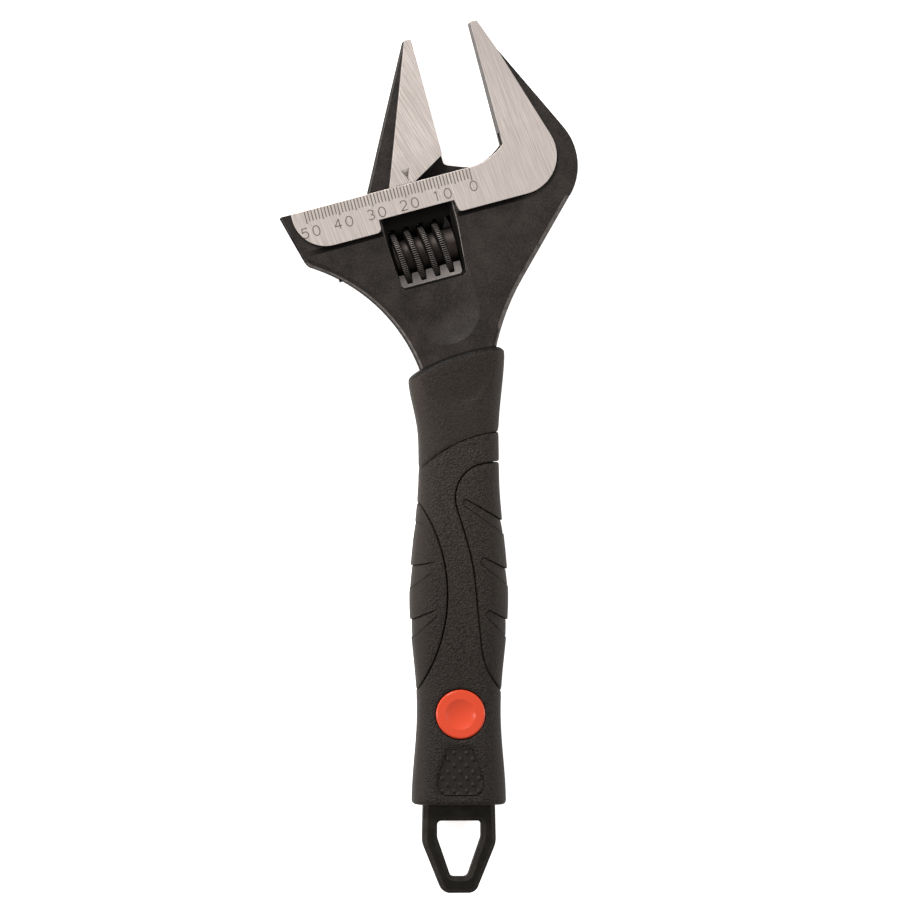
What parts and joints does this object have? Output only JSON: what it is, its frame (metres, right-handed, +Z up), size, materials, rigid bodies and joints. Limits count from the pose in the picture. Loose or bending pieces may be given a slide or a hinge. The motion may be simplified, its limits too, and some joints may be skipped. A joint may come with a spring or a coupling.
{
  "type": "adjustable wrench",
  "caption": "Wide-opening adjustable wrench with a graduated bar, worm-driven sliding jaw, moulded two-tone grip and hanging loop.",
  "frame": {"origin": "centre of the bounding box's bottom face, on the surface the wrench lies on", "axes": "+Y along the handle from the hanging loop to the head, +Z up through the thickness, +X to the fixed jaw's side"},
  "size_m": [0.0872, 0.256, 0.018],
  "materials": {
    "black_steel": "fine matt black phosphate over forged steel, with bright ground and brushed head faces",
    "jaw_steel": "fine matt black phosphate over forged steel, with bright ground and brushed faces",
    "worm_steel": "dark turned steel, knurled on the crest",
    "screw_steel": "plain turned steel",
    "spring_steel": "drawn spring wire",
    "grip_hard": "black moulded plastic with a fine pebbled skin",
    "grip_soft": "black soft moulded panel with a fine pebbled skin",
    "cap_red": "smooth red-orange plastic"
  },
  "bodies": {
    "body": {"wrench_body": "black_steel", "axle_screw": "screw_steel", "worm_spring": "spring_steel", "grip_core": "grip_hard", "grip_panel_left": "grip_soft", "grip_panel_right": "grip_soft", "accent_cap": "cap_red"},
    "jaw": {"movable_jaw": "jaw_steel"},
    "worm": {"worm": "worm_steel"}
  },
  "joints": [
    {"name": "jaw_slide", "type": "slide", "parent": "body", "child": "jaw", "axis": [-0.9659, -0.2588, 0], "range_m": [-0.018, 0.0319]},
    {"name": "worm_spin", "type": "hinge", "parent": "body", "child": "worm", "pos_m": [-0.00104, 0.06031, 0.009], "axis": [-0.9659, -0.2588, 0], "range_deg": [-2750, 1560]}
  ],
  "couplings": [
    {"joint": "worm_spin", "follows": "jaw_slide", "rad_per_m": -1478.4}
  ]
}
